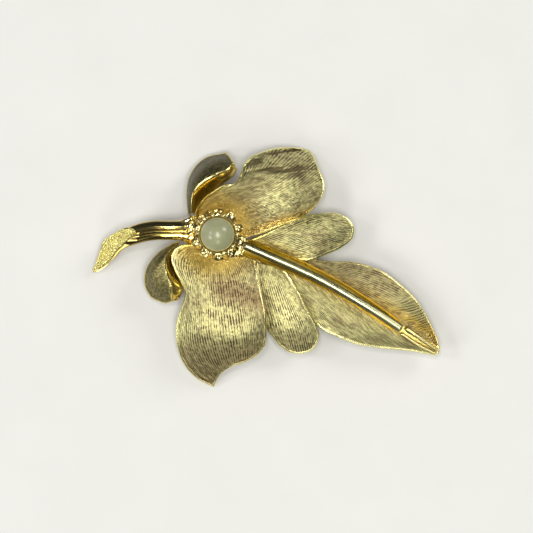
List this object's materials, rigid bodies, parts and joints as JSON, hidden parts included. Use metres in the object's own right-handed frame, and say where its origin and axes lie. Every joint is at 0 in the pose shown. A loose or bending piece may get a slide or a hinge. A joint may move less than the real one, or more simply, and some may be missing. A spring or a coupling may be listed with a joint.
{
  "type": "leaf brooch",
  "caption": "Gold-tone leaf brooch with engraved satin leaves, fluted stem, pearl in a beaded setting, and a hinged bar pin with safety catch.",
  "frame": {"origin": "middle of the outline, at the lowest point of the brooch lying on its back", "axes": "+X towards the tip of the long leaf, +Y towards the large upper leaf, +Z out of the front, through the pearl"},
  "size_m": [0.061, 0.042, 0.0132],
  "materials": {
    "satin_gold": "gold plate, finely engraved satin",
    "dark_gold": "gold plate, grained and darkened",
    "polished_gold": "gold plate, polished",
    "stippled_gold": "gold plate, stippled",
    "pin_steel": "bright drawn steel",
    "pearl": "lustrous, cream to grey-green"
  },
  "bodies": {
    "brooch": {"upper_sepal": "dark_gold", "lower_sepal": "dark_gold", "upper_lobe": "satin_gold", "upper_side_lobe": "satin_gold", "tip_blade": "satin_gold", "lower_side_lobe": "satin_gold", "lower_lobe": "satin_gold", "stem": "polished_gold", "stem_end_plate": "stippled_gold", "midrib_channel": "polished_gold", "midrib_rod": "polished_gold", "tip_vein_upper": "polished_gold", "tip_vein_lower": "polished_gold", "hub_disc": "polished_gold", "calyx_rosette": "polished_gold", "prong_crown": "polished_gold", "pearl": "pearl", "pearl_peg": "pin_steel", "pin_bar": "polished_gold", "hinge_bracket": "polished_gold", "hinge_rivet": "pin_steel", "catch_housing": "polished_gold"},
    "pin": {"pin_stem": "pin_steel"},
    "lock": {"lock_roller": "polished_gold"}
  },
  "joints": [
    {"name": "pin_hinge", "type": "hinge", "parent": "brooch", "child": "pin", "pos_m": [-0.00895, 0.00595, 0.00184], "axis": [0.4384, 0.8988, 0], "range_deg": [0, 110]},
    {"name": "lock_turn", "type": "hinge", "parent": "brooch", "child": "lock", "pos_m": [0.01173, -0.00413, 0.00184], "axis": [0.8988, -0.4384, 0], "range_deg": [0, 90]}
  ]
}
